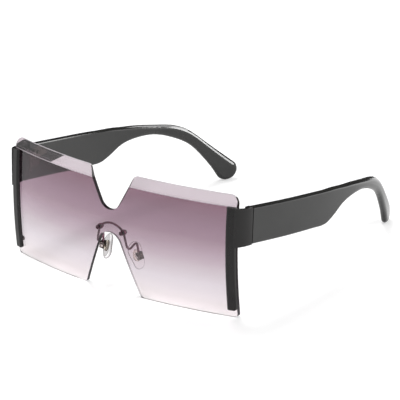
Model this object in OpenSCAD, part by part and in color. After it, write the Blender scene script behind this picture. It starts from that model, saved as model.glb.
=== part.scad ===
// Rimless one-piece sunglasses. One curved lens carries a wire bridge with
// two rocking nose pads, and a moulded end piece with a long front bar and a
// folding temple on each side. Sizes are in millimetres. The glasses stand
// on z = 0, face -Y, and the temples run towards +Y.

/* [Lens] */
// Full width of the one-piece lens
lens_w = 137; // [132:0.5:142]
// Full height of the lens
lens_h = 61.1; // [60:0.1:63]
// Thickness of the lens
lens_t = 2; // [1.6:0.1:2.4]
// Radius of the sphere that the front face follows
lens_r = 250; // [220:5:300]
// Height of that sphere's centre above the resting surface
lens_zc = 32.5; // [28:0.5:36]
// Radius of the top outer corners
corner_top_r = 4; // [2:0.5:6]
// Radius of the bottom outer corners
corner_low_r = 1.8; // [1:0.1:3]
// Height of the facet ground along the top edge
facet_h = 5.3; // [3:0.1:8]
// How deep the facet is ground at the top edge
facet_depth = 1.3; // [0.5:0.1:1.4]

/* [Notch and nose cut] */
// Width of the brow notch at the top edge, between its sharp corners
notch_w = 26.8; // [25:0.2:30]
// Width of the brow notch where the facet ends, between its slanted sides
notch_neck_w = 22.8; // [21:0.2:24]
// Depth of the brow notch
notch_d = 19.1; // [17:0.1:20.5]
// Radius of the notch's round bottom
notch_r = 6.6; // [5:0.2:7.4]
// Radius of the notch's sides where the slant changes
notch_neck_r = 6; // [2:0.5:10]
// Radius of the two shoulders beside the notch
shoulder_r = 2.5; // [1:0.1:3.5]
// Width of the nose cut at the bottom edge, between its sharp corners
nose_w = 34.4; // [32:0.2:36]
// Height of the nose cut
nose_h = 30.5; // [28:0.5:31]
// Radius of the nose cut's round top
nose_r = 7; // [6:0.2:8]
// Radius of the two corners beside the nose cut
nose_corner_r = 1.2; // [0.6:0.1:2]

/* [Front bars] */
// Width of the bar on the lens's front face
bar_w = 4.8; // [4:0.1:6]
// Thickness of the bar
bar_t = 1.7; // [1.4:0.1:2.2]
// How far the bar overhangs the lens's side edge
bar_over = 0.4; // [0.2:0.05:0.8]
// Height of the bar's lower end above the resting surface
bar_low = 4.1; // [3.5:0.1:6]
// Radius of the bar's long front edges
bar_edge_r = 1.2; // [0.6:0.1:1.3]
// Radius of the bar's upper corners
bar_top_r = 0.5; // [0.2:0.1:0.7]
// Radius of the bar's lower corners
bar_corner_r = 1; // [0.5:0.1:1.5]

/* [End pieces] */
// How far each end piece stands out past the lens's side edge
end_out = 3.5; // [3:0.1:4.5]
// Height of the end piece where it meets the bar
end_h = 19.3; // [18.8:0.1:20]
// How far its top lies below the lens's top edge
end_drop = 5.3; // [5:0.1:6.5]
// How much lower the top is at the rear seam
end_fall = 1.7; // [1:0.1:2.4]
// How much lower the bottom is at the rear seam
end_sink = 0.6; // [0:0.1:1]
// Distance of the rear seam behind the lens's side edge
seam_back = 9.13; // [8.6:0.01:10]
// Lean of the seam, top rearwards, in degrees
seam_lean = 3.2; // [0:0.1:5]
// Gap in the seam between end piece and temple
seam_gap = 0.5; // [0.3:0.05:0.6]
// Radius of the end piece's outer side in plan
end_round = 21.5; // [19:0.5:25]
// Width of the lip outside the hinge
lip_w = 3; // [2.6:0.1:3.2]
// How far the lip reaches behind the block
lip_l = 1.8; // [1.5:0.1:2]
// How far the block's inner side lies outside the bar's inner edge
block_inset = 0.5; // [0:0.1:1]
// Slope of the end piece's top, down towards its inner side, in degrees
roof_lean = 24; // [16:1:26]
// Rise of the end piece's underside towards its inner side, in degrees
floor_lean = 22; // [14:1:24]
// Length of the raised lug on top of the lip
lug_l = 3; // [2:0.1:4]
// Height of that lug
lug_h = 0.5; // [0.3:0.1:0.7]

/* [Temples] */
// Length of the temple from the seam to its rearmost point
temple_l = 145.4; // [138:0.2:152]
// Thickness of the temple at the seam
temple_t = 3.6; // [3.3:0.1:4]
// Thickness of the temple at its tip
tip_t = 3.6; // [3:0.1:3.8]
// How far the temple's top stands above the end piece at the seam
temple_rise = 0.1; // [0:0.1:0.6]
// Sideways run of the outward flare over the whole length
temple_flare = 6.2; // [5:0.2:8]
// Sideways run of the inward tuck at the tip
temple_tuck = 27.9; // [24:0.1:32]
// Radius of the temple's long edges
temple_edge_r = 0.9; // [0.5:0.1:1.2]
// Radius of those edges at the tip, across the thickness
tip_edge_r = 1.6; // [0.9:0.1:1.7]
// Radius of those edges at the tip, along the height
tip_crown_r = 2.6; // [1.2:0.1:3]
// Width of the round tip
tip_w = 11.2; // [10:0.1:12]

/* [Hinges] */
// How far the hinge axis lies inside the end piece's outer side
hinge_in = 5.4; // [5.2:0.1:5.8]
// How far the hinge axis lies behind the seam
hinge_back = 0.2; // [0:0.1:0.4]
// Radius of the hinge knuckles
knuckle_r = 1.5; // [1.3:0.05:1.6]
// Height of the whole knuckle stack
knuckle_h = 7.4; // [6.8:0.1:7.6]
// Height of the middle knuckle, which is the temple's
knuckle_mid_h = 2.8; // [2.2:0.1:3.4]
// Diameter of the hinge screw's shank
pivot_d = 1.4; // [1.2:0.05:1.5]
// Thickness of the two hinge leaves
leaf_t = 1; // [0.8:0.1:1.1]
// Height of the front leaf
front_leaf_h = 11.8; // [11.6:0.1:12]
// Width of the front leaf
front_leaf_w = 2.9; // [2.6:0.1:3]
// Length of the temple leaf
temple_leaf_l = 9; // [8:0.1:11]
// Height of the temple leaf
temple_leaf_h = 6.8; // [6:0.1:8]

/* [Bridge] */
// Distance between the two bridge screws
bridge_span = 14.4; // [14:0.1:15]
// How far the bridge screws lie above the nose cut's top
bridge_up = 0.9; // [0.7:0.1:3]
// Rise of the bridge wire between the screws
bridge_rise = 3.2; // [2.6:0.1:3.6]
// Diameter of the bridge wire
bridge_wire_d = 1.1; // [0.9:0.05:1.2]
// Diameter of the two eyelets
eyelet_d = 2.8; // [2.6:0.1:3]
// Thickness of the two eyelets
eyelet_t = 1.2; // [1.2:0.05:1.5]
// Diameter of the bridge screws
bridge_screw_d = 1.3; // [1.1:0.05:1.4]
// Diameter of the screws' heads
bridge_head_d = 2; // [1.8:0.1:2.3]
// Height of the screws' heads
bridge_head_h = 0.45; // [0.4:0.05:0.7]

/* [Nose pads] */
// Distance of the pad's rocking axis from the middle
pad_x = 11.5; // [11:0.1:12.5]
// Distance of that axis behind the lens's apex
pad_y = 9.2; // [8.6:0.1:10]
// Height of that axis above the resting surface
pad_z = 18.7; // [18:0.1:20]
// Length of the pad
pad_l = 14.2; // [13:0.1:15]
// Width of the pad
pad_w = 8.2; // [7.4:0.1:9]
// Thickness of the pad
pad_t = 2.3; // [1.8:0.1:2.6]
// Outward lean of the pad's foot, in degrees
pad_frontal = 11.5; // [6:0.5:15]
// Rearward lean of the pad's foot, in degrees
pad_lean = 9; // [4:0.5:12]
// Turn of the pad's rear edge away from the nose, in degrees
pad_splay = 10; // [4:0.5:15]
// Diameter of the pad arm's wire
arm_d = 1.1; // [0.9:0.05:1.15]

/* [Hidden] */
$fn = 96;
lens_fn = 360;
mesh_fn = 32;
tiny_fn = 48;
overrun = 1;
half = 1 / 2;
left = 1;
right = -1;
// Clearance of glued and screwed faces, and the running fit of pins
seat = 0.03;
running = 0.05;
slip = 0.1;

// Lens places
lens_half = lens_w / 2;
lens_rear_r = lens_r - lens_t;
facet_z = lens_h - facet_h;
facet_reach = sqrt(pow(lens_r, 2) - pow(lens_h - lens_zc, 2));
facet_drop = facet_depth * (2 * facet_reach - facet_depth) / (2 * facet_h);
facet_r = sqrt(pow(lens_r, 2) + pow(facet_drop, 2) + 2 * facet_drop * (facet_z - lens_zc));
arc_steps = 14;

// End piece places
end_w = lens_w + 2 * end_out;
end_top = lens_h - end_drop;
end_low = end_top - end_h;
seam_y = lens_front(lens_half, lens_zc) + seam_back;
seam_top = end_top - end_fall;
seam_low = end_low - end_sink;
seam_mid = (seam_top + seam_low) / 2;
bar_in = lens_half + bar_over - bar_w;
bar_out = lens_half + bar_over;
bar_mid = (bar_in + bar_out) / 2;
bar_reach = sqrt(pow(lens_r + seat, 2) - pow(bar_out, 2)) + bar_t;
bar_sweep = 12;
block_in = bar_in + block_inset;
lug_inset_share = 0.125;
lip_in = end_w / 2 - lip_w;
step_y = seam_y - lip_l;

// Hinge places
hinge_x = end_w / 2 - hinge_in;
hinge_y = seam_y + hinge_back;
hinge_low = 0.1;
hinge_z = seam_mid - hinge_low;
leaf_stand = 0.5;
leaf_x = hinge_x + knuckle_r + leaf_stand;
leaf_start = 1.3;
knuckle_web = 1.1;
leaf_screw_d = 1.1;
leaf_head_d = 1.7;
leaf_head_h = 0.45;
leaf_screw_l = 3;
leaf_screw_edge = 1.1;
rivet_d = 1.2;
rivet_head_d = 1.9;
rivet_head_h = 0.4;
rivet_l = 2.8;
rivet_shares = [0.45, 0.82];
pivot_head_d = 2.2;
pivot_head_h = 0.6;
slot_w = 0.4;
slot_depth = 0.25;

// Lower pins
pin_d = 1.5;
pin_head_d = 2.6;
pin_head_h = 0.8;
pin_up = 4;
pin_bite = 1;
pin_x = bar_mid;
pin_z = bar_low + pin_up;

// Bridge places
bridge_z = nose_h + bridge_up;
screw_x = bridge_span / 2;
eyelet_out = screw_x + eyelet_d / 2;
head_in = screw_x - bridge_head_d / 2;
head_y = lens_front(head_in, bridge_z) - seat;
eyelet_y = lens_rear(eyelet_out, bridge_z) + seat;
wire_y = eyelet_y + eyelet_t / 2;
bridge_arc_r = (pow(screw_x, 2) + pow(bridge_rise, 2)) / (2 * bridge_rise);
bridge_arc_z = bridge_z + bridge_rise - bridge_arc_r;
washer_d = 2.1;
washer_t = 0.2;
washer_y = eyelet_y + eyelet_t + seat;
nut_d = 2.2;
nut_h = 0.7;
nut_sides = 6;
nut_y = washer_y + washer_t + seat;
screw_end = 0.15;

// Pad carrier: a small metal box holds the tab of the pad's insert
box_w = 2.6;
box_h = 3.6;
box_d = 2.4;
box_wall = 0.5;
box_gap = 0.65;
axis_gap = 1.5;
tab_w = 1.5;
tab_h = 2.1;
tab_reach = 0.75;
insert_l = 6;
insert_w = 4.2;
insert_t = 0.7;
pad_screw_d = 0.9;
pad_head_d = 1.5;
pad_head_h = 0.45;
pad_top_share = 0.48;
pad_edge = 0.8;
pad_low_r_share = 0.37;
pad_top_r_share = 0.5;
pad_shift_share = 0.07;
box_mid = box_gap + box_d / 2 - axis_gap;

// The arm leaves the eyelet, drops, turns back under itself and rises to
// a loop above the box. Shares run from the eyelet to the box on each axis.
arm_shares = [
    [0.14, 0.01, 0.18], [0.28, 0.02, 0.4], [0.41, 0.04, 0.62], [0.52, 0.12, 0.77],
    [0.62, 0.32, 0.81], [0.7, 0.55, 0.72], [0.78, 0.78, 0.63], [0.88, 0.94, 0.68]
];
arm_sides = 10;
arm_steps = 4;
arm_end_run = 0.8;

// Temple outline. Each row is a line across the temple: how far along its
// top and bottom ends lie, and their heights as shares of the seam's heights.
temple_top = seam_top + temple_rise;
temple_low = seam_low;
temple_shares = [
    [0.181, 0.928, 0.174, 0.901], [0.321, 0.874, 0.314, 0.830],
    [0.404, 0.840, 0.390, 0.794], [0.460, 0.822, 0.446, 0.854],
    [0.516, 0.796, 0.502, 0.946], [0.579, 0.770, 0.568, 0.980],
    [0.669, 0.721, 0.656, 0.955], [0.760, 0.663, 0.741, 0.838],
    [0.827, 0.564, 0.823, 0.641], [0.920, 0.341, 0.894, 0.301]
];
tip_steps = 7;
row_steps = 4;
tip_last = 84;
edge_steps = 4;
edge_share = 0.48;
edge_from_share = 0.4;
edge_to_share = 0.8;
tip_lean = 53;

// Overall places: the model is centred between the bridge screws' heads in
// front and the temple tips behind.
front_y = head_y - bridge_head_h;
rear_y = seam_y + temple_l;
mid_y = (front_y + rear_y) / 2;

// The lens's front and rear faces at a place seen from the front
function lens_front(x, z) = lens_r - sqrt(pow(lens_r, 2) - x * x - pow(z - lens_zc, 2));
function lens_rear(x, z) = lens_r - sqrt(pow(lens_rear_r, 2) - x * x - pow(z - lens_zc, 2));

// A closed outline with each sharp corner rounded by an arc of its radius
function unit(v) = v / norm(v);
function corner(a, p, b, r) = r <= 0 ? [p] : let (
    u = unit(a - p),
    v = unit(b - p),
    open = acos(max(-1, min(1, u * v))),
    c = p + unit(u + v) * r / sin(open / 2),
    s = p + u * r / tan(open / 2) - c,
    e = p + v * r / tan(open / 2) - c,
    turn = sign(s.x * e.y - s.y * e.x) * (180 - open)
) [for (i = [0 : arc_steps]) let (t = turn * i / arc_steps)
    c + [s.x * cos(t) - s.y * sin(t), s.x * sin(t) + s.y * cos(t)]];
function rounded(points, radii) = let (n = len(points)) [
    for (i = [0 : n - 1])
        each corner(points[(i + n - 1) % n], points[i], points[(i + 1) % n], radii[i])
];

// Sharp meeting point of two slanted sides that run from half width w at
// height h tangent to a round end of radius r centred at height c
function vee_angle(w, h, c, r) = atan2(w, h) - asin(r / norm([w, h]));
function vee_height(w, h, c, r) = w / tan(vee_angle(w, h, c, r));

// A smooth curve through a list of points, s steps between neighbours
function bend(a, b, c, d, t) = half * (2 * b + (c - a) * t
    + (2 * a - 5 * b + 4 * c - d) * pow(t, 2) + (3 * b - a - 3 * c + d) * pow(t, 3));
function smooth(p, s) = let (n = len(p)) [
    for (i = [0 : n - 2]) let (
        a = i == 0 ? 2 * p[0] - p[1] : p[i - 1],
        d = i == n - 2 ? 2 * p[n - 1] - p[n - 2] : p[i + 2]
    ) for (k = [0 : s - 1]) bend(a, p[i], p[i + 1], d, k / s),
    p[n - 1]
];

// Faces of a tube made of rings, each a list of m points
function ring_faces(n, m) = concat(
    [[for (j = [0 : m - 1]) j]],
    [for (i = [0 : n - 2], j = [0 : m - 1]) let (k = (j + 1) % m)
        each [[i * m + j, (i + 1) * m + j, (i + 1) * m + k], [i * m + j, (i + 1) * m + k, i * m + k]]],
    [[for (j = [m - 1 : -1 : 0]) (n - 1) * m + j]]
);

// The seam leans, so its distance back depends on the height
function seam_at(z) = seam_y + (z - seam_mid) * tan(seam_lean);

// The wearer's left pieces are drawn at +X. The right ones are their mirror
// images.
module placed(side = left) {
    translate([0, -mid_y, 0])
        mirror([side == left ? 0 : 1, 0, 0])
            children();
}

// A ball around the centre that the lens's faces share
module lens_ball(r, drop = 0) {
    translate([0, lens_r, lens_zc - drop])
        sphere(r, $fn = lens_fn);
}

// A frame whose origin lies on the lens's front face, +Y into the lens
module on_lens(x, z) {
    translate([0, lens_r, lens_zc])
        rotate([-asin((z - lens_zc) / lens_r), 0, asin(x / lens_r)])
            translate([0, -lens_r, 0])
                children();
}

// Extrudes an X-Z outline towards +Y
module towards_back(depth) {
    translate([0, depth, 0])
        rotate([90, 0, 0])
            linear_extrude(depth)
                children();
}

// A round bar along +Y, +X or +Z
module rod_y(d, l, fn = tiny_fn) {
    rotate([-90, 0, 0])
        cylinder(d = d, h = l, $fn = fn);
}
module rod_x(d, l, fn = tiny_fn) {
    rotate([0, 90, 0])
        cylinder(d = d, h = l, $fn = fn);
}

// A box between two opposite corners
module between(a, b) {
    translate(a)
        cube(b - a);
}

module lens_outline() {
    notch_c = notch_d - notch_r;
    notch_tip = facet_z - vee_height(notch_neck_w / 2, notch_c - facet_h, 0, notch_r);
    nose_tip = vee_height(nose_w / 2, nose_h - nose_r, 0, nose_r);
    polygon(rounded(
        [[0, notch_tip], [notch_neck_w / 2, facet_z], [notch_w / 2, lens_h], [lens_half, lens_h],
         [lens_half, 0], [nose_w / 2, 0], [0, nose_tip], [-nose_w / 2, 0], [-lens_half, 0],
         [-lens_half, lens_h], [-notch_w / 2, lens_h], [-notch_neck_w / 2, facet_z]],
        [notch_r, notch_neck_r, shoulder_r, corner_top_r, corner_low_r, nose_corner_r,
         nose_r, nose_corner_r, corner_low_r, corner_top_r, shoulder_r, notch_neck_r]
    ));
}

module lens() {
    depth = lens_front(lens_half, 0) + lens_t * 2;
    color("#b9a3b0", 0.6)
        difference() {
            intersection() {
                translate([0, -overrun, 0])
                    towards_back(depth + overrun)
                        lens_outline();
                lens_ball(lens_r);
                lens_ball(facet_r, facet_drop);
            }
            lens_ball(lens_rear_r);
            for (side = [left, right]) {
                translate([side * screw_x, -overrun, bridge_z])
                    rod_y(bridge_screw_d + 2 * running, lens_t + 2 * overrun);
                mirror([side == left ? 0 : 1, 0, 0])
                    on_lens(pin_x, pin_z)
                        translate([0, -overrun, 0])
                            rod_y(pin_d + 2 * running, lens_t + 2 * overrun);
            }
        }
}

// The bar follows the lens's front face
module bar_strip() {
    inner = sqrt(pow(lens_r + seat, 2) - pow(bar_in, 2));
    outer = sqrt(pow(lens_r + seat, 2) - pow(bar_out, 2));
    intersection() {
        translate([0, lens_r, lens_zc])
            rotate([0, 90, 0])
                rotate_extrude(angle = 2 * bar_sweep, start = 270 - bar_sweep, $fn = lens_fn)
                    polygon(rounded(
                        [[inner, bar_in], [inner + bar_t, bar_in], [outer + bar_t, bar_out], [outer, bar_out]],
                        [0, bar_edge_r, bar_edge_r, 0]
                    ));
        towards_back(lens_front(bar_out, 0))
            polygon(rounded(
                [[bar_in, bar_low], [bar_out, bar_low], [bar_out, end_top], [bar_in, end_top]],
                [bar_corner_r, bar_corner_r, bar_top_r, bar_top_r]
            ));
    }
}

// Plan of the end piece, from an inner side x to the round outer side
module end_plan(x, back) {
    cx = end_w / 2 - end_round;
    wrap = acos((x - cx) / end_round);
    polygon(concat(
        [[x, step_y], [lip_in, step_y], [lip_in, back], [end_w / 2, back]],
        [for (i = [0 : arc_steps]) let (t = -wrap * i / arc_steps)
            [cx + end_round * cos(t), seam_y + end_round * sin(t)]]
    ));
}

module end_side() {
    face_y = lens_front(bar_mid, seam_mid) - bar_t;
    shift = seam_gap / 2;
    rotate([90, 0, 90])
        linear_extrude(end_w)
            polygon([
                [0, end_low], [face_y, end_low], [seam_at(seam_low) - shift, seam_low],
                [seam_at(seam_top) - shift, seam_top], [face_y, end_top], [0, end_top]
            ]);
}

// A half space for the end piece's top or underside. Its face holds the
// outer edge, at height z at the seam, and leans towards the inner side.
module end_slope(z, fall, lean, base = 0) {
    run = seam_y - lens_front(bar_out, seam_mid) + bar_t;
    turn = atan2(end_w / 2 - bar_out, run);
    translate([end_w / 2, seam_y, z])
        rotate([-atan2(fall, run), lean, -turn])
            translate([-end_w, -end_w, base])
                cube([2 * end_w, 2 * end_w, lens_h]);
}

module end_block() {
    back = seam_y + lip_l;
    intersection() {
        end_slope(seam_top, end_fall, -roof_lean, -lens_h);
        end_slope(seam_low, end_sink, floor_lean);
        end_side();
        union() {
            intersection() {
                linear_extrude(lens_h)
                    end_plan(block_in, back);
                lens_ball(lens_rear_r - seat);
            }
            intersection() {
                linear_extrude(lens_h)
                    end_plan(lens_half + seat, back);
                translate([0, lens_r, lens_zc])
                    rod_x(2 * bar_reach, end_w, lens_fn);
            }
        }
    }
    end_lug();
}

module end_lug() {
    y1 = seam_at(seam_top) - seam_gap / 2;
    slope = end_fall / seam_y;
    inset = lip_w * lug_inset_share;
    foot = seam_top - lug_h - lip_w * tan(roof_lean);
    translate([lip_in + inset, 0, 0])
        rotate([90, 0, 90])
            linear_extrude(lip_w - 2 * inset)
                polygon(rounded(
                    [[y1 - lug_l, foot], [y1, foot],
                     [y1, seam_top + lug_h], [y1 - lug_l, seam_top + lug_l * slope + lug_h]],
                    [0, 0, lug_h * half, lug_h * half]
                ));
}

module end_bar() {
    color("#33302f")
        difference() {
            union() {
                bar_strip();
                end_block();
            }
            on_lens(pin_x, pin_z)
                translate([0, -pin_bite, 0])
                    rod_y(pin_d + 2 * running, pin_bite + overrun);
            between(
                [hinge_x - front_leaf_w / 2 - running, step_y - leaf_t - seat, hinge_z - front_leaf_h / 2 - running],
                [hinge_x + front_leaf_w / 2 + running, step_y + overrun, hinge_z + front_leaf_h / 2 + running]
            );
            for (dz = [-1, 1])
                translate([hinge_x, step_y - leaf_t - leaf_screw_l, hinge_z + dz * leaf_screw_z()])
                    rod_y(leaf_screw_d + 2 * seat, leaf_screw_l + overrun);
        }
}

function leaf_screw_z() = front_leaf_h / 2 - leaf_screw_edge;

module lens_pin() {
    color("#4b4845")
        on_lens(pin_x, pin_z) {
            translate([0, seat - pin_bite, 0])
                rod_y(pin_d, pin_bite - seat + lens_t + seat * 2);
            translate([0, lens_t + seat, 0])
                rotate([-90, 0, 0])
                    cylinder(d1 = pin_head_d, d2 = pin_head_d - pin_head_h * half, h = pin_head_h, $fn = tiny_fn);
        }
}

// One knuckle of the hinge, from z1 to z2 measured from the hinge's middle
module knuckle(z1, z2) {
    translate([hinge_x, hinge_y, hinge_z + z1])
        cylinder(r = knuckle_r, h = z2 - z1, $fn = tiny_fn);
}

module hinge_bore(r) {
    translate([hinge_x, hinge_y, hinge_z - knuckle_h])
        cylinder(r = r, h = 2 * knuckle_h, $fn = tiny_fn);
}

module hinge_front_leaf() {
    z1 = knuckle_mid_h / 2 + running;
    z2 = knuckle_h / 2;
    color("#3a3836")
        difference() {
            union() {
                between(
                    [hinge_x - front_leaf_w / 2, step_y - leaf_t, hinge_z - front_leaf_h / 2],
                    [hinge_x + front_leaf_w / 2, step_y, hinge_z + front_leaf_h / 2]
                );
                for (zz = [[z1, z2], [-z2, -z1]]) {
                    knuckle(zz[0], zz[1]);
                    between(
                        [hinge_x - knuckle_web, step_y - leaf_t / 2, hinge_z + zz[0]],
                        [hinge_x + knuckle_web, hinge_y, hinge_z + zz[1]]
                    );
                }
            }
            hinge_bore(pivot_d / 2 + seat);
            for (dz = [-1, 1])
                translate([hinge_x, step_y - leaf_t - overrun, hinge_z + dz * leaf_screw_z()])
                    rod_y(leaf_screw_d + 2 * seat, leaf_t + 2 * overrun);
        }
}

// A slotted round head with its shank, along +Y from the head's outer face
module slotted_screw(d, l, head_d, head_h) {
    difference() {
        union() {
            rod_y(head_d, head_h);
            rod_y(d, l + head_h);
        }
        translate([-head_d, -overrun, -slot_w / 2])
            cube([2 * head_d, overrun + slot_depth, slot_w]);
    }
}

module hinge_front_screws() {
    color("#8f8c88")
        for (dz = [-1, 1])
            translate([hinge_x, step_y + seat + leaf_head_h, hinge_z + dz * leaf_screw_z()])
                mirror([0, 1, 0])
                    slotted_screw(leaf_screw_d, leaf_screw_l + leaf_t - seat, leaf_head_d, leaf_head_h);
}

module hinge_temple_leaf() {
    z1 = knuckle_mid_h / 2;
    color("#3a3836")
        difference() {
            union() {
                between(
                    [leaf_x, hinge_y + leaf_start, hinge_z - temple_leaf_h / 2],
                    [leaf_x + leaf_t, hinge_y + leaf_start + temple_leaf_l, hinge_z + temple_leaf_h / 2]
                );
                knuckle(-z1, z1);
                between(
                    [hinge_x, hinge_y, hinge_z - z1],
                    [leaf_x + seat, hinge_y + leaf_start + knuckle_web, hinge_z + z1]
                );
            }
            hinge_bore(pivot_d / 2 + running);
            rivets(seat, overrun);
        }
}

// The two rivets, or with a clearance the holes for them
module rivets(play, extra) {
    for (s = rivet_shares)
        translate([leaf_x - extra, hinge_y + leaf_start + temple_leaf_l * s, hinge_z])
            rod_x(rivet_d + 2 * play, rivet_l + extra + play);
}

module hinge_temple_rivets() {
    color("#8f8c88") {
        rivets(0, rivet_head_h);
        for (s = rivet_shares)
            translate([leaf_x - seat - rivet_head_h, hinge_y + leaf_start + temple_leaf_l * s, hinge_z])
                rotate([0, 90, 0])
                    cylinder(d1 = rivet_head_d - rivet_head_h, d2 = rivet_head_d, h = rivet_head_h, $fn = tiny_fn);
    }
}

module hinge_screw() {
    color("#a5a29d")
        translate([hinge_x, hinge_y, hinge_z + knuckle_h / 2 + seat + pivot_head_h])
            rotate([-90, 0, 0])
                slotted_screw(pivot_d, knuckle_h, pivot_head_d, pivot_head_h);
}

// Outer face of the temple in plan: it flares a little, then tucks in
function plan_share(y) = (y - seam_y) / temple_l;
function plan_x(y) = let (s = plan_share(y))
    end_w / 2 + temple_flare * s - temple_tuck * pow(s, 3);
function plan_slope(y) = let (s = plan_share(y))
    (temple_flare - 3 * temple_tuck * pow(s, 2)) / temple_l;
function plan_inward(y) = unit([-1, plan_slope(y)]);

// Rows across the temple: [top y, top z, bottom y, bottom z]
function tip_centre() = [rear_y - tip_w / 2, tip_w / 2];
function tip_across() = [sin(tip_lean), cos(tip_lean)] * tip_w / 2;
function temple_rows() = let (
    shift = seam_gap / 2,
    c = tip_centre(),
    u = tip_across(),
    rows = concat(
        [[seam_at(temple_top) + shift, temple_top, seam_at(temple_low) + shift, temple_low]],
        [for (r = temple_shares)
            [seam_y + temple_l * r[0], temple_top * r[1], seam_y + temple_l * r[2], temple_low * r[3]]],
        [[c.x + u.x, c.y + u.y, c.x - u.x, c.y - u.y]]
    )
) smooth(rows, row_steps);
function tip_rows() = let (c = tip_centre(), u = tip_across(), d = [u.y, -u.x]) [
    for (i = [1 : tip_steps]) let (t = tip_last * i / tip_steps)
        [c.x + u.x * cos(t) + d.x * sin(t), c.y + u.y * cos(t) + d.y * sin(t),
         c.x - u.x * cos(t) + d.x * sin(t), c.y - u.y * cos(t) + d.y * sin(t)]
];

// A rounded rectangle, h high and t deep, from its top round the outer side.
// Its corners are quarter ellipses, rt across the thickness and rh high.
function section(h, t, rt, rh) = [
    for (q = [0 : 3], i = [0 : edge_steps]) let (a = 90 * (q + i / edge_steps))
        [(q < 2 ? rt : t - rt) - rt * sin(a), (q == 0 || q == 3 ? rh : h - rh) - rh * cos(a)]
];

// The edges' radius grows from the temple's value to the tip's
function edge_growth(s) = max(0, min(1, (s - edge_from_share) / (edge_to_share - edge_from_share)));
function edge_at(s, tip_value) = temple_edge_r + (tip_value - temple_edge_r) * edge_growth(s);

module temple_body() {
    rows = concat(temple_rows(), tip_rows());
    n = len(rows);
    m = 4 * (edge_steps + 1);
    points = [
        for (i = [0 : n - 1]) let (
            row = rows[i],
            top = [row[0], row[1]],
            low = [row[2], row[3]],
            h = norm(top - low),
            s = plan_share((top.x + low.x) / 2),
            full_t = temple_t + (tip_t - temple_t) * s,
            edge_r = edge_at(s, tip_edge_r),
            into = max(0, edge_r - tip_inset(i, n)),
            thin = into <= 0 ? 0 : edge_r - sqrt(pow(edge_r, 2) - pow(into, 2)),
            t = full_t - 2 * thin,
            rt = min(edge_r, t * edge_share),
            rh = min(edge_at(s, tip_crown_r), h * edge_share)
        )
        for (p = section(h, t, rt, rh)) let (
            side = top + (low - top) * p.y / h,
            inward = plan_inward(side.x) * (p.x + thin)
        ) [plan_x(side.x) + inward.x, side.x + inward.y, side.y]
    ];
    polyhedron(points, ring_faces(n, m), convexity = 6);
}

// How far a ring near the tip lies from the tip's very end
function tip_inset(i, n) = let (k = i - (n - 1 - tip_steps))
    k <= 0 ? tip_w : tip_w / 2 * (1 - sin(tip_last * k / tip_steps));

module temple() {
    z1 = knuckle_mid_h / 2 + slip;
    color("#3b3a39")
        difference() {
            temple_body();
            between(
                [hinge_x, hinge_y + leaf_start - seat, hinge_z - temple_leaf_h / 2 - seat],
                [leaf_x + leaf_t + seat, hinge_y + leaf_start + temple_leaf_l + seat, hinge_z + temple_leaf_h / 2 + seat]
            );
            between(
                [hinge_x, hinge_y - knuckle_r, hinge_z - z1],
                [leaf_x + slip, hinge_y + leaf_start + knuckle_web, hinge_z + z1]
            );
            rivets(seat, 0);
        }
}

module bridge_bar() {
    ring_mid = (eyelet_d + bridge_screw_d) * half * half;
    spread = asin(screw_x / bridge_arc_r) - atan2(ring_mid, bridge_arc_r);
    color("#5b5354")
        difference() {
            union() {
                translate([0, wire_y, bridge_arc_z])
                    rotate([90, 0, 0])
                        rotate_extrude(angle = 2 * spread, start = 90 - spread)
                            translate([bridge_arc_r, 0])
                                circle(d = bridge_wire_d, $fn = tiny_fn);
                for (side = [left, right])
                    translate([side * screw_x, eyelet_y, bridge_z])
                        rod_y(eyelet_d, eyelet_t);
            }
            for (side = [left, right])
                translate([side * screw_x, eyelet_y - overrun, bridge_z])
                    rod_y(bridge_screw_d + 2 * running, eyelet_t + 2 * overrun);
        }
}

module bridge_screw() {
    color("#6a6263")
        translate([screw_x, head_y - bridge_head_h, bridge_z])
            slotted_screw(bridge_screw_d, nut_y + nut_h + screw_end - head_y, bridge_head_d, bridge_head_h);
}

module bridge_washer() {
    color("#d9d6d0")
        translate([screw_x, washer_y, bridge_z])
            difference() {
                rod_y(washer_d, washer_t);
                translate([0, -overrun, 0])
                    rod_y(bridge_screw_d + 2 * running, washer_t + 2 * overrun);
            }
}

module bridge_nut() {
    color("#6a6263")
        translate([screw_x, nut_y, bridge_z])
            difference() {
                rod_y(nut_d, nut_h, nut_sides);
                translate([0, -overrun, 0])
                    rod_y(bridge_screw_d + 2 * seat, nut_h + 2 * overrun);
            }
}

// The pad's own frame: x away from the nose, y along the pad's width, z up.
// Its origin lies on the rocking axis.
pad_turn = [pad_lean, -pad_frontal, -pad_splay];
function turn_x(p, a) = [p.x, p.y * cos(a) - p.z * sin(a), p.y * sin(a) + p.z * cos(a)];
function turn_y(p, a) = [p.x * cos(a) + p.z * sin(a), p.y, -p.x * sin(a) + p.z * cos(a)];
function turn_z(p, a) = [p.x * cos(a) - p.y * sin(a), p.x * sin(a) + p.y * cos(a), p.z];
function pad_spot(p) = [pad_x, pad_y, pad_z]
    + turn_z(turn_y(turn_x(p, pad_turn.x), pad_turn.y), pad_turn.z);

module on_pad() {
    translate([pad_x, pad_y, pad_z])
        rotate(pad_turn)
            children();
}

// A round wire through a list of points, with flat ends
module wire(points, d) {
    n = len(points);
    rings = [
        for (i = [0 : n - 1]) let (
            t = unit(points[min(i + 1, n - 1)] - points[max(i - 1, 0)]),
            u = unit(cross(t, [1, 0, 0])),
            v = cross(t, u)
        ) for (j = [0 : arm_sides - 1]) let (a = 360 * j / arm_sides)
            points[i] + (u * cos(a) + v * sin(a)) * d / 2
    ];
    polyhedron(rings, ring_faces(n, arm_sides), convexity = 6);
}

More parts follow.
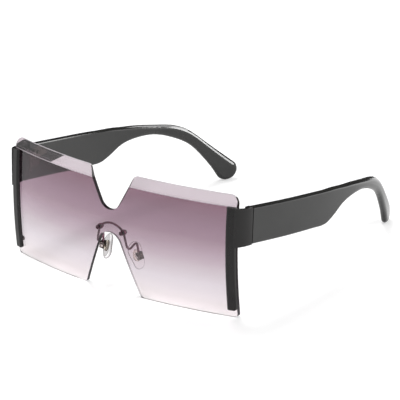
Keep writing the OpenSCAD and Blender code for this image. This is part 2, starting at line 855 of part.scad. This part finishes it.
module pad_arm() {
    root = [screw_x, wire_y, bridge_z];
    box_top = pad_spot([box_mid, 0, box_h / 2]);
    above = pad_spot([box_mid, 0, box_h / 2 + arm_end_run]);
    run = above - root;
    path = concat(
        [root],
        [for (s = arm_shares) root + [run.x * s[0], run.y * s[1], run.z * s[2]]],
        [above, box_top]
    );
    color("#5b5354")
        difference() {
            wire(smooth(path, arm_steps), arm_d);
            translate([screw_x, eyelet_y - overrun, bridge_z])
                rod_y(eyelet_d, eyelet_t + 2 * overrun);
        }
}

module pad_box() {
    color("#7d7674")
        on_pad()
            translate([box_gap - axis_gap, -box_w / 2, -box_h / 2])
                difference() {
                    cube([box_d, box_w, box_h]);
                    translate([-overrun, box_wall, -overrun])
                        cube([box_d - box_wall + overrun, box_w - 2 * box_wall, box_h + 2 * overrun]);
                    translate([axis_gap - box_gap, -overrun, box_h / 2])
                        rod_y(pad_screw_d + 2 * seat, box_w + 2 * overrun);
                }
}

module pad_screw() {
    color("#c9c6c1")
        on_pad()
            translate([0, -box_w / 2 - seat - pad_head_h, 0])
                slotted_screw(pad_screw_d, box_w + seat, pad_head_d, pad_head_h);
}

// An oval l high and w wide, in the pad's own Y-Z plane, t thick towards +X
module oval(l, w, t) {
    scale([1, 1, l / w])
        rod_x(w, t);
}

module pad_insert() {
    color("#cfc9bd")
        on_pad()
            difference() {
                union() {
                    translate([-axis_gap - insert_t, 0, 0])
                        oval(insert_l, insert_w, insert_t);
                    translate([-axis_gap - insert_t / 2, -tab_w / 2, -tab_h / 2])
                        cube([axis_gap + insert_t / 2 + tab_reach, tab_w, tab_h]);
                }
                translate([0, -tab_w / 2 - overrun, 0])
                    rod_y(pad_screw_d + 2 * running, tab_w + 2 * overrun);
            }
}

module nose_pad() {
    top_r = pad_w * pad_top_r_share;
    low_r = pad_w * pad_low_r_share;
    top_z = pad_l * pad_top_share - top_r;
    low_z = pad_l * (pad_top_share - 1) + low_r;
    depth = pad_t - pad_edge;
    color("#ddd5cc", 0.5)
        on_pad()
            translate([-axis_gap, 0, 0])
                difference() {
                    translate([-pad_edge, 0, 0])
                        intersection() {
                            hull() {
                                translate([0, 0, top_z])
                                    scale([depth / top_r, 1, 1])
                                        sphere(top_r, $fn = mesh_fn);
                                translate([0, pad_w * pad_shift_share, low_z])
                                    scale([depth / low_r, 1, 1])
                                        sphere(low_r, $fn = mesh_fn);
                            }
                            translate([-pad_t, -pad_w, -pad_l])
                                cube([pad_t + pad_edge, 2 * pad_w, 2 * pad_l]);
                        }
                    translate([-insert_t - seat, 0, 0])
                        oval(insert_l + 2 * seat, insert_w + 2 * seat, insert_t + overrun);
                }
}

placed() lens();
placed(left) end_bar();  // end_bar_left
placed(right) end_bar();  // end_bar_right
placed(left) lens_pin();  // lens_pin_left
placed(right) lens_pin();  // lens_pin_right
placed(left) hinge_front_leaf();  // hinge_front_leaf_left
placed(right) hinge_front_leaf();  // hinge_front_leaf_right
placed(left) hinge_front_screws();  // hinge_front_screws_left
placed(right) hinge_front_screws();  // hinge_front_screws_right
placed(left) hinge_temple_leaf();  // hinge_temple_leaf_left
placed(right) hinge_temple_leaf();  // hinge_temple_leaf_right
placed(left) hinge_temple_rivets();  // hinge_temple_rivets_left
placed(right) hinge_temple_rivets();  // hinge_temple_rivets_right
placed(left) hinge_screw();  // hinge_screw_left
placed(right) hinge_screw();  // hinge_screw_right
placed(left) temple();  // temple_left
placed(right) temple();  // temple_right
placed() bridge_bar();
placed(left) bridge_screw();  // bridge_screw_left
placed(right) bridge_screw();  // bridge_screw_right
placed(left) bridge_washer();  // bridge_washer_left
placed(right) bridge_washer();  // bridge_washer_right
placed(left) bridge_nut();  // bridge_nut_left
placed(right) bridge_nut();  // bridge_nut_right
placed(left) pad_arm();  // pad_arm_left
placed(right) pad_arm();  // pad_arm_right
placed(left) pad_box();  // pad_box_left
placed(right) pad_box();  // pad_box_right
placed(left) pad_screw();  // pad_screw_left
placed(right) pad_screw();  // pad_screw_right
placed(left) pad_insert();  // pad_insert_left
placed(right) pad_insert();  // pad_insert_right
placed(left) nose_pad();  // nose_pad_left
placed(right) nose_pad();  // nose_pad_right
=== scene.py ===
import math

import bpy
from mathutils import Matrix, Vector

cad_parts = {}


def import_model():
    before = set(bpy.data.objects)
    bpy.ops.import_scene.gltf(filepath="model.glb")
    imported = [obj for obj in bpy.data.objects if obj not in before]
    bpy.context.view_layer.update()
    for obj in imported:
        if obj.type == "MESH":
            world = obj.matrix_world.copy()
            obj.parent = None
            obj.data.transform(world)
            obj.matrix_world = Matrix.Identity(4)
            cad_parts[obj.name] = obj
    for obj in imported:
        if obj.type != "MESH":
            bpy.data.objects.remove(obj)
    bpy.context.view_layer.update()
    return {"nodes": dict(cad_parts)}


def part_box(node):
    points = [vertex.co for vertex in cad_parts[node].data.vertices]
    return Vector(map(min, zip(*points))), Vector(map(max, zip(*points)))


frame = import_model()
nodes = frame["nodes"]
scene = bpy.context.scene
scene.view_settings.view_transform = "Standard"

# The camera, fitted to the photograph's outlines, in the row frame
AZIMUTH, ELEVATION, ROLL = 38.3, 20.64, -0.16
FOCAL, SENSOR = 254.4, 36.0
DISTANCE = 1.386
AIM = Vector((0.01056, -0.02515, 0.03247))
CLIP = (0.1, 20.0)

# The sphere that the lens follows, its thickness, and the facet along its top
LENS_LOW, LENS_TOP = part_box("lens")
LENS_R = 0.250
LENS_T = 0.002
LENS_MID_Z = 0.0325
LENS_C = Vector((0, LENS_LOW.y + LENS_R, LENS_MID_Z))
LENS_H = LENS_TOP.z
FACET_H = 0.0053
FACET_Z = LENS_H - FACET_H
# Width of the white line along the facet's lower edge, a painted highlight
RIDGE_HIGHLIGHT_W = 0.0002
FACE_SLACK = 0.0003

# The dye by share of the lens's height, as both faces together show it
TINT = (
    (0.0, "f0ecec"), (0.05, "eee6e8"), (0.1, "e7dfe1"), (0.15, "e5dde1"),
    (0.25, "dcd4da"), (0.34, "cfc4cb"), (0.44, "bfaeb8"), (0.54, "ad98a4"),
    (0.63, "9d8492"), (0.73, "937988"), (0.83, "886d7b"), (0.9, "846574"),
)
# How the dye is shared out, how far it clouds, and how much of it shades light
REAR_DYE, FRONT_DYE = 0.62, 1.38
DYE_CLOUD, SHADE_DYE = 0.02, 0.5
POLISH, LENS_IOR = 0.015, 1.5
# The bare facet's colour, and the white of the painted highlight along its ridge, with its share on
# the front face
BARE, RIDGE_HIGHLIGHT, RIDGE_HIGHLIGHT_SHARE = "f5fdfb", "fff4fb", 0.7

# The lens's cut edge by share of height: from outside, darker upward with the dye and with
# painted shade; from inside the lens, painted shade, with a painted contact shadow at its lowest line
CUT_NEAR_DYE_AND_SHADE = ((0.0, "4f4b4f"), (0.12, "353135"), (0.3, "221c20"), (1.0, "20151a"))
CUT_FAR_SHADE = (
    (0.0, "5f5d5f"), (0.01, "5f5d5f"), (0.03, "8f8c8f"),
    (0.2, "7a7478"), (0.4, "5a5056"), (1.0, "4a3d45"),
)
# The pale colour of the cut's top face, a painted highlight
CUT_TOP_HIGHLIGHT = "c9c3c8"
CUT_SATIN, CUT_SPECULAR = (0.12, 0.4), 0.08
# A face is the cut where its normal and the sphere's radius agree less than
# this, and the top of the cut, painted pale as a highlight, where its normal points up by more than
# this
CUT_TURN = 0.6
TOP_HIGHLIGHT_TURN = 0.75
# The cut's solidity rises with height, and its lowest line is solid, a painted contact shadow
SOLID_FROM, SOLID_TO = (0.1, 0.5), (0.5, 0.9)
CONTACT_SHADOW_LINE = 0.008

# Clear pieces take painted shade from the first to the second of these as they turn edge on
EDGE_ON = (0.32, 0.7)
EDGE_ON_BLEND = 0.35
SHEEN_RISE = 6

# Heights of the bumps
RIPPLE_H = 0.000004
BRUSH_H = 0.000006
PIT_H = 0.00001

# The floor's half width and colour, and its glow for each kind of ray
FLOOR_REACH = 6.0
PAPER = 0.72
CAMERA_GLOW, GLASS_GLOW = 0.45, 0.36
# A gloss mirrors it brighter behind the glasses, and dark far off
BEHIND_Y, GLOSS_GLOW = (0.12, 0.2), (0.35, 1.5)
FADE_REACH, FAR_GLOW = (0.35, 0.8), 0.08

# The world: the room's light, the white backdrop, and what a gloss mirrors
ROOM, BACKDROP = 0.38, 1.0
FRONT_Y, GLOSS_WORLD = (-0.4, 0.0), (1.0, 0.05)
WHITE = (1, 1, 1, 1)

# Where the lamps point
LAMP_AIM = Vector((0, 0, 0.03))


def srgb(code):
    """A colour written as in a picture, such as 8f7481, in Blender's own terms."""
    parts = [int(code[i:i + 2], 16) / 255 for i in (0, 2, 4)]
    linear = [c / 12.92 if c <= 0.04045 else ((c + 0.055) / 1.055) ** 2.4 for c in parts]
    return (*linear, 1.0)


class Tree:
    """A material's or the world's nodes, made one call at a time."""

    def __init__(self, owner, output):
        owner.use_nodes = True
        self.tree = owner.node_tree
        self.tree.nodes.clear()
        self.out = self.tree.nodes.new(output)

    def add(self, kind, *links, **settings):
        """A node with its inputs linked or set in order, and its settings."""
        node = self.tree.nodes.new("ShaderNode" + kind)
        for key, value in settings.items():
            setattr(node, key, value)
        for socket, value in zip(node.inputs, links):
            self.put(socket, value)
        return node

    def put(self, socket, value):
        """Links a node or a socket to a socket, or sets a plain value there."""
        if value is None:
            return
        if isinstance(value, bpy.types.NodeSocket):
            self.tree.links.new(value, socket)
        elif isinstance(value, bpy.types.Node):
            self.tree.links.new(value.outputs[0], socket)
        else:
            socket.default_value = value

    def set(self, node, **values):
        for key, value in values.items():
            self.put(node.inputs[key.replace("_", " ")], value)
        return node

    def finish(self, shader):
        self.put(self.out.inputs[0], shader)

    def math(self, operation, a, b=None, clamp=False):
        return self.add("Math", a, b, operation=operation, use_clamp=clamp)

    def place(self, kind="Object"):
        return self.add("TexCoord").outputs[kind]

    def part(self, vector, axis):
        """One of a vector's three numbers, by its axis."""
        return self.add("SeparateXYZ", vector).outputs["XYZ".index(axis)]

    def noise(self, scale, detail=2.0, stretch=(1, 1, 1)):
        spot = self.add("Mapping", self.place())
        spot.inputs["Scale"].default_value = stretch
        node = self.add("TexNoise")
        return self.set(node, Vector=spot, Scale=scale, Detail=detail).outputs[0]

    def span(self, value, low, high):
        """Turns a value from 0 to 1 into one from low to high."""
        return self.add("MapRange", value, 0.0, 1.0, low, high)

    def around(self, value, middle, low_share, high_share):
        """Turns a value from 0 to 1 into one between two shares of a middle."""
        return self.span(value, middle * low_share, middle * high_share)

    def ramp(self, value, stops):
        """Turns a value into a colour, by stops of a place and a colour."""
        node = self.add("ValToRGB", value)
        elements = node.color_ramp.elements
        while len(elements) < len(stops):
            elements.new(0.5)
        for element, (at, code) in zip(elements, stops):
            element.position = at
            element.color = srgb(code)
        return node

    def blend(self, share, a, b):
        node = self.add("Mix", data_type="RGBA")
        for i, value in ((0, share), (6, a), (7, b)):
            self.put(node.inputs[i], value)
        return node.outputs[2]

    def mix(self, share, a, b):
        return self.add("MixShader", share, a, b)

    def bump(self, height, distance):
        node = self.add("Bump")
        return self.set(node, Height=height, Distance=distance, Strength=1.0).outputs[0]


def material(name):
    mat = bpy.data.materials.new(name)
    return mat, Tree(mat, "ShaderNodeOutputMaterial")


# Materials
def plastic(name, dark, light, rough, specular):
    """Glossy moulded plastic: a faint mottle, polishing haze and fine ripples."""
    mat, t = material(name)
    mottle = t.ramp(t.noise(scale=90, detail=3), ((0.3, dark), (0.7, light)))
    haze = t.around(t.noise(scale=260, detail=4, stretch=(1, 0.2, 1)), rough, 0.7, 1.5)
    ripple = t.bump(t.noise(scale=1500), RIPPLE_H)
    body = t.set(t.add("BsdfPrincipled"), Base_Color=mottle, Roughness=haze, Normal=ripple)
    body.inputs["Specular IOR Level"].default_value = specular
    t.finish(body)
    return mat


def metal(name, dark, light, rough, grain=(1, 1, 1), bright=1.0):
    """Plated wire and sheet: brushed grain, with the plating duller in spots."""
    mat, t = material(name)
    plating = t.ramp(t.noise(scale=700, detail=3), ((0.35, dark), (0.65, light)))
    worn = t.around(t.noise(scale=1400, detail=3, stretch=grain), rough, 0.7, 1.4)
    brush = t.bump(t.noise(scale=5000, stretch=grain), BRUSH_H)
    body = t.add("BsdfPrincipled")
    t.finish(t.set(body, Base_Color=plating, Roughness=worn, Normal=brush, Metallic=bright))
    return mat


def clear(name, middle, edge_shade_and_cloud, rough, sheen):
    """Clear plastic or silicone, with painted shade where it is seen edge on."""
    mat, t = material(name)
    facing = t.add("LayerWeight", EDGE_ON_BLEND).outputs["Facing"]
    # Edge on, the see-through tint turns to the second colour: painted shade
    tint = t.ramp(facing, ((0.0, middle), (EDGE_ON[0], middle), (EDGE_ON[1], edge_shade_and_cloud)))
    through = t.add("BsdfTransparent", tint)
    cloud = t.ramp(t.noise(scale=500, detail=3), ((0.3, edge_shade_and_cloud), (0.7, middle)))
    frost = t.around(t.noise(scale=900), rough, 0.6, 1.5)
    pits = t.bump(t.noise(scale=2600), PIT_H)
    gloss = t.set(t.add("BsdfPrincipled"), Base_Color=cloud, Roughness=frost, Normal=pits)
    share = t.span(t.math("POWER", facing, 2.0), sheen, min(1.0, sheen * SHEEN_RISE))
    t.finish(t.mix(share, through, gloss))
    return mat


def lens_look():
    """Polished polycarbonate, dyed from the top down, with dull cut edges in painted
    shade, and painted highlights on the cut's top and along the facet's ridge.
    """
    mat, t = material("tinted_lens_look")
    spot = t.place()
    rise = t.part(spot, "Z")
    height = t.math("DIVIDE", rise, LENS_H)
    out = t.add("VectorMath", spot, LENS_C, operation="SUBTRACT")
    radial = t.add("VectorMath", out, operation="NORMALIZE")
    geometry = t.add("NewGeometry")
    normal = geometry.outputs["True Normal"]
    tilt = t.add("VectorMath", radial, normal, operation="DOT_PRODUCT")
    is_edge = t.math("LESS_THAN", t.math("ABSOLUTE", tilt.outputs["Value"]), CUT_TURN)
    on_facet = t.math("GREATER_THAN", rise, FACET_Z)

    glass, tint = lens_faces(t, spot, rise, height, on_facet)
    edge = lens_edge(t, height, on_facet, normal, geometry.outputs["Backfacing"])
    seen = t.mix(is_edge, glass, edge)
    shade = t.mix(is_edge, t.add("BsdfTransparent", t.add("Gamma", tint, SHADE_DYE)), edge)
    is_shadow = t.add("LightPath").outputs["Is Shadow Ray"]
    t.finish(t.mix(is_shadow, seen, shade))
    return mat


def lens_faces(t, spot, rise, height, on_facet):
    """The two faces. Each holds its share of the dye, and the ground facet has
    lost the front one's, so it is paler, with a painted highlight along the ridge below it."""
    cloudy = t.math("MULTIPLY_ADD", t.noise(scale=35, detail=1), DYE_CLOUD)
    t.put(cloudy.inputs[2], height)
    dye = t.ramp(cloudy, TINT)
    rear = t.add("Gamma", dye, REAR_DYE)
    front = t.add("Gamma", dye, FRONT_DYE)
    reach = t.add("VectorMath", spot, LENS_C, operation="DISTANCE").outputs["Value"]
    is_rear = t.math("LESS_THAN", reach, LENS_R - LENS_T + FACE_SLACK)
    tint = t.blend(is_rear, t.blend(on_facet, front, srgb(BARE)), rear)
    glass = t.add("BsdfPrincipled")
    t.set(glass, Base_Color=tint, Roughness=POLISH, IOR=LENS_IOR)
    glass.inputs["Transmission Weight"].default_value = 1.0
    # A white line along the facet's lower edge, on the front face only: a painted highlight
    ridge_highlight = t.math("COMPARE", rise, FACET_Z)
    ridge_highlight.inputs[2].default_value = RIDGE_HIGHLIGHT_W
    ridge_highlight = t.math("MULTIPLY", ridge_highlight, t.math("SUBTRACT", RIDGE_HIGHLIGHT_SHARE, is_rear, clamp=True))
    return t.mix(ridge_highlight, glass, t.add("BsdfDiffuse", srgb(RIDGE_HIGHLIGHT))), tint


def lens_edge(t, height, on_facet, normal, from_inside):
    """The cut edge: satin, and dark with the dye and painted shade from outside, its top a
    painted highlight; half clear in painted shade from inside, with a painted contact
    shadow along its lowest line.
    """
    # The cut's upward faces on the facet are painted pale: a painted highlight
    top_highlight = t.math("MULTIPLY", t.math("GREATER_THAN", t.part(normal, "Z"), TOP_HIGHLIGHT_TURN), on_facet)
    colour = t.blend(top_highlight, t.ramp(height, CUT_NEAR_DYE_AND_SHADE), srgb(CUT_TOP_HIGHLIGHT))
    satin = t.span(t.noise(scale=1800, detail=3), *CUT_SATIN)
    marks = t.bump(t.noise(scale=4000), PIT_H)
    cut = t.set(t.add("BsdfPrincipled"), Base_Color=colour, Roughness=satin, Normal=marks)
    cut.inputs["Specular IOR Level"].default_value = CUT_SPECULAR
    # From inside, the cut is painted shade, solid along its lowest line as a painted contact shadow
    solidity = t.add("MapRange", height, *SOLID_FROM, *SOLID_TO)
    solidity = t.math("MAXIMUM", solidity, t.math("LESS_THAN", height, CONTACT_SHADOW_LINE))
    far_shade = t.add("BsdfDiffuse", t.ramp(height, CUT_FAR_SHADE))
    return t.mix(from_inside, cut, t.mix(solidity, t.add("BsdfTransparent"), far_shade))


def dress():
    """Gives every CAD node the finish under the longest name that begins its own."""
    # A clear look's second colour is its painted shade edge on, and the darker tone of its cloud
    looks = {
        "lens": lens_look(),
        "end_bar": plastic("bar_look", "171515", "1f1d1d", 0.16, 0.35),
        "temple": plastic("temple_look", "1f1f1e", "272726", 0.1, 0.5),
        "hinge": metal("hinge_look", "55504d", "6b6662", 0.3, grain=(1, 1, 8)),
        "bridge_washer": clear("washer_look", "d9d2d4", "8d8386", 0.2, 0.15),
        "bridge": metal("bridge_screw_look", "3c222c", "553642", 0.2, bright=0.25),
        "bridge_bar": metal("bridge_look", "7a3850", "9c5e78", 0.2, bright=0.25),
        "lens_pin": metal("pin_look", "4a4645", "5c5856", 0.25),
        "pad_arm": metal("arm_look", "6e4253", "8f6877", 0.2, bright=0.3),
        # The box's plating runs from near black to pale: random tone whose spots are painted glints
        # and painted dark reflections
        "pad_box": metal("box_glint_look", "1f1b19", "9a918b", 0.1),
        "pad_screw": metal("screw_look", "cfcbc6", "e6e2dc", 0.15),
        "pad_insert": clear("insert_look", "faf7f2", "8f8474", 0.12, 0.04),
        "nose_pad": clear("silicone_look", "fefdfd", "3a3036", 0.2, 0.012),
    }
    for name, node in nodes.items():
        look = max((key for key in looks if name.startswith(key)), key=len)
        for slot in node.material_slots:
            slot.material = looks[look]


# Floor, world, lamps and camera
def rays(t):
    """Whether a ray comes straight from the camera, through a glass or off a gloss."""
    path = t.add("LightPath").outputs
    straight, glass, gloss = (path[f"Is {kind} Ray"] for kind in ("Camera", "Transmission", "Glossy"))
    return straight, glass, t.math("SUBTRACT", gloss, glass, clamp=True)


def floor_look():
    """Pale paper that renders white, and keeps the shadows that fall on it."""
    mat, t = material("floor_look")
    straight, glass, gloss = rays(t)
    behind = t.add("MapRange", t.part(t.place(), "Y"), *BEHIND_Y, *GLOSS_GLOW)
    glow = t.math("MULTIPLY", straight, CAMERA_GLOW)
    for share, level in ((glass, GLASS_GLOW), (gloss, behind)):
        glow = t.math("ADD", glow, t.math("MULTIPLY", share, level))
    paper = t.add("BsdfDiffuse", (PAPER, PAPER, PAPER, 1))
    near = t.add("AddShader", paper, t.add("Emission", WHITE, glow))
    reach = t.add("VectorMath", t.place(), operation="LENGTH").outputs["Value"]
    fade = t.math("MULTIPLY", gloss, t.add("MapRange", reach, *FADE_REACH, 0.0, 1.0))
    t.finish(t.mix(fade, near, t.add("Emission", WHITE, FAR_GLOW)))
    return mat


def floor():
    mesh = bpy.data.meshes.new("floor")
    turns = ((-1, -1), (1, -1), (1, 1), (-1, 1))
    mesh.from_pydata([(x * FLOOR_REACH, y * FLOOR_REACH, 0) for x, y in turns], [], [(0, 1, 2, 3)])
    mesh.materials.append(floor_look())
    sheet = bpy.data.objects.new("floor", mesh)
    scene.collection.objects.link(sheet)


def world():
    """A white backdrop in a dim room. A gloss mirrors it white in front only."""
    scene.world = bpy.data.worlds.new("studio")
    t = Tree(scene.world, "ShaderNodeOutputWorld")
    straight, glass, gloss = rays(t)
    seen = t.math("ADD", straight, glass, clamp=True)
    room = t.mix(seen, t.add("Background", WHITE, ROOM), t.add("Background", WHITE, BACKDROP))
    front = t.add("MapRange", t.part(t.place("Generated"), "Y"), *FRONT_Y, *GLOSS_WORLD)
    t.finish(t.mix(gloss, room, t.add("Background", WHITE, front)))


def lamp(name, turn, height, reach, size, power):
    """A soft box at so many degrees right of +Y and above the floor."""
    turn, height = math.radians(turn), math.radians(height)
    level = math.cos(height)
    way = Vector((math.sin(turn) * level, math.cos(turn) * level, math.sin(height)))
    data = bpy.data.lights.new(name, "AREA")
    data.shape = "RECTANGLE"
    data.size, data.size_y = size
    data.energy = power
    box = bpy.data.objects.new(name, data)
    scene.collection.objects.link(box)
    box.location = LAMP_AIM + way * reach
    box.rotation_mode = "QUATERNION"
    box.rotation_quaternion = way.to_track_quat("Z", "Y")
    box.visible_camera = box.visible_transmission = False


def lamps():
    """Two soft boxes on the left, and two behind that the temples' edges mirror."""
    lamp("top_soft_box", -60, 68, 1.35, (0.5, 0.5), 8.0)
    lamp("side_soft_box", -110, 32, 1.5, (0.7, 0.9), 2.5)
    lamp("rear_high_strip", 20, 30, 1.3, (0.27, 0.55), 3.8)
    lamp("rear_low_strip", 50, 10, 1.3, (0.7, 0.28), 10.0)


def camera():
    az, el = math.radians(AZIMUTH), math.radians(ELEVATION)
    back = Vector((math.sin(az) * math.cos(el), -math.cos(az) * math.cos(el), math.sin(el)))
    right = Vector((math.cos(az), math.sin(az), 0))
    facing = Matrix((right, back.cross(right), back)).transposed()
    data = bpy.data.cameras.new("camera")
    data.lens, data.sensor_width = FOCAL, SENSOR
    data.clip_start, data.clip_end = CLIP
    view = bpy.data.objects.new("camera", data)
    scene.collection.objects.link(view)
    view.location = AIM + back * DISTANCE
    view.rotation_mode = "QUATERNION"
    view.rotation_quaternion = (Matrix.Rotation(math.radians(ROLL), 3, back) @ facing).to_quaternion()
    scene.camera = view


camera()
floor()
world()
lamps()
dress()
